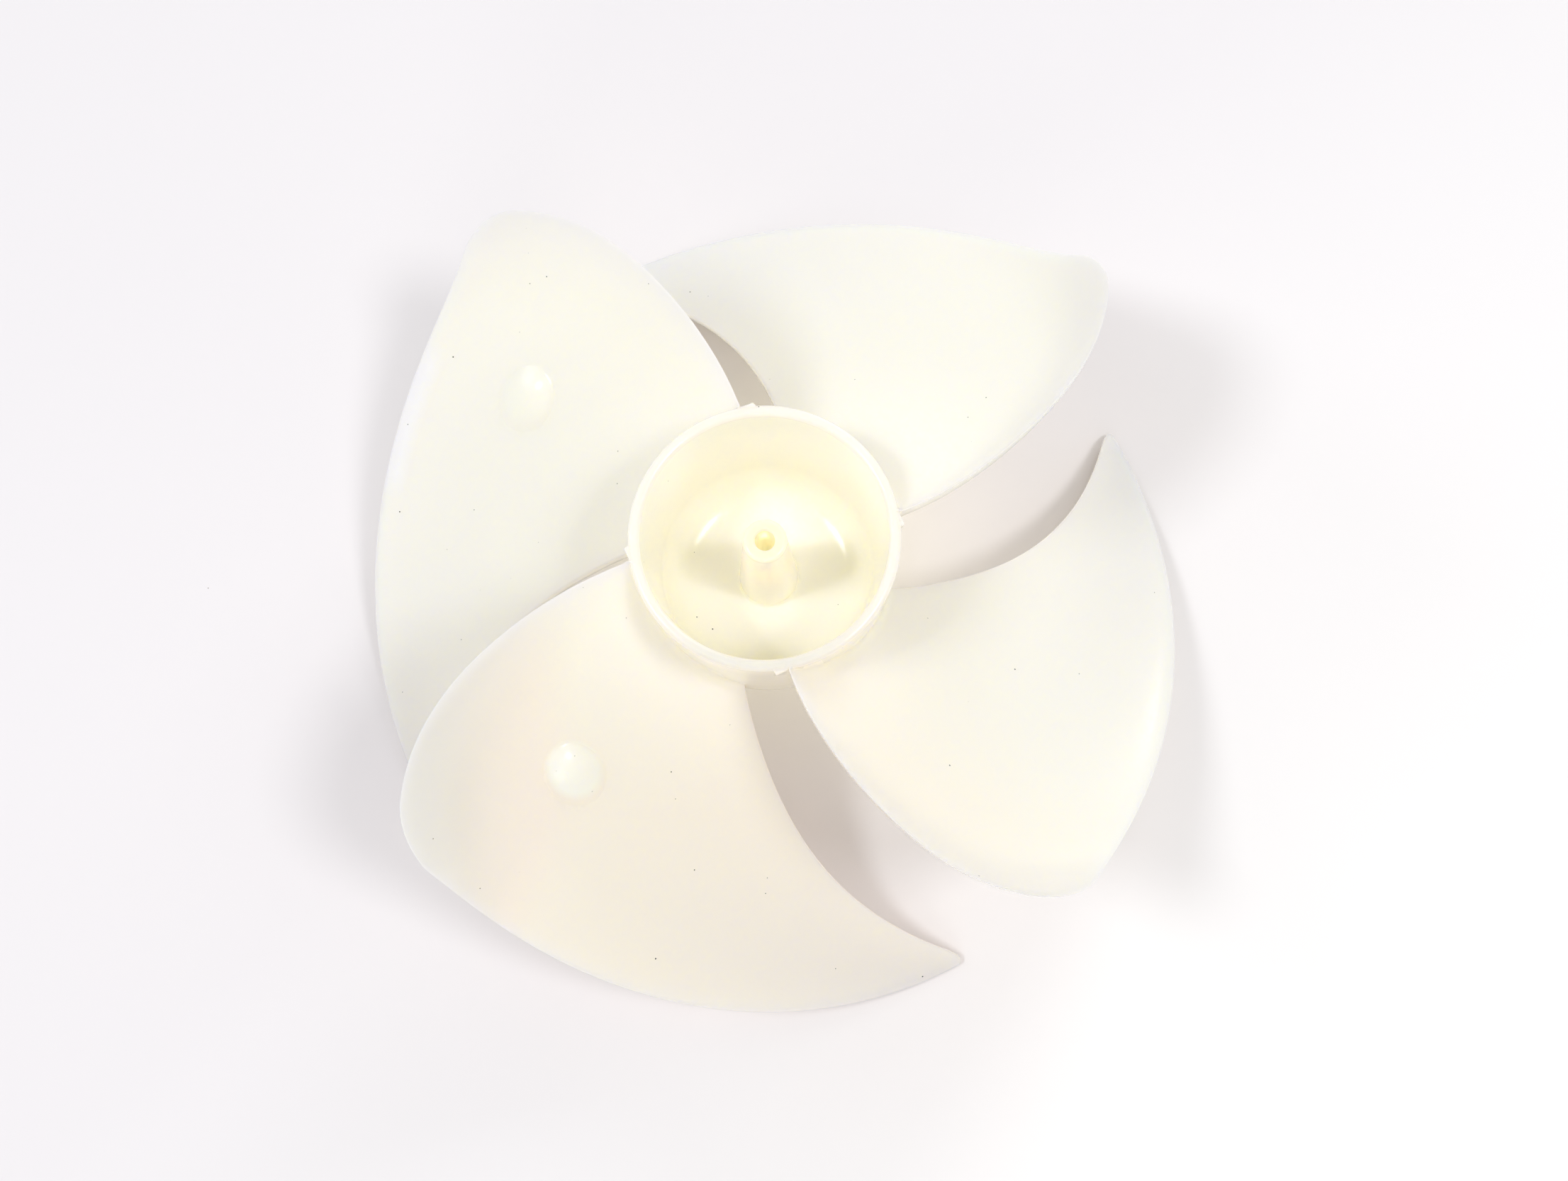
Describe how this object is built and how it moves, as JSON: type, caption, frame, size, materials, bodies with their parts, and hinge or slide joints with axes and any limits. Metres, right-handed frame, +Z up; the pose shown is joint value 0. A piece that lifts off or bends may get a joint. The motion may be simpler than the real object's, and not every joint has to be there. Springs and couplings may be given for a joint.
{
  "type": "axial fan impeller",
  "caption": "Small moulded plastic fan impeller: a hub cup with a central shaft boss carries wide swept blades, cambered and twisted, with two low round bumps on their faces.",
  "frame": {"origin": "on the floor under the shaft axis, at the centre of the fan's footprint", "axes": "+Z up along the shaft axis, out of the open end of the hub cup; +X and +Y across the fan"},
  "size_m": [0.1376, 0.1376, 0.0558],
  "materials": {
    "ivory_plastic": "smooth moulded ivory plastic with a soft gloss"
  },
  "bodies": {
    "root": {"fan_impeller": "ivory_plastic"}
  },
  "joints": []
}
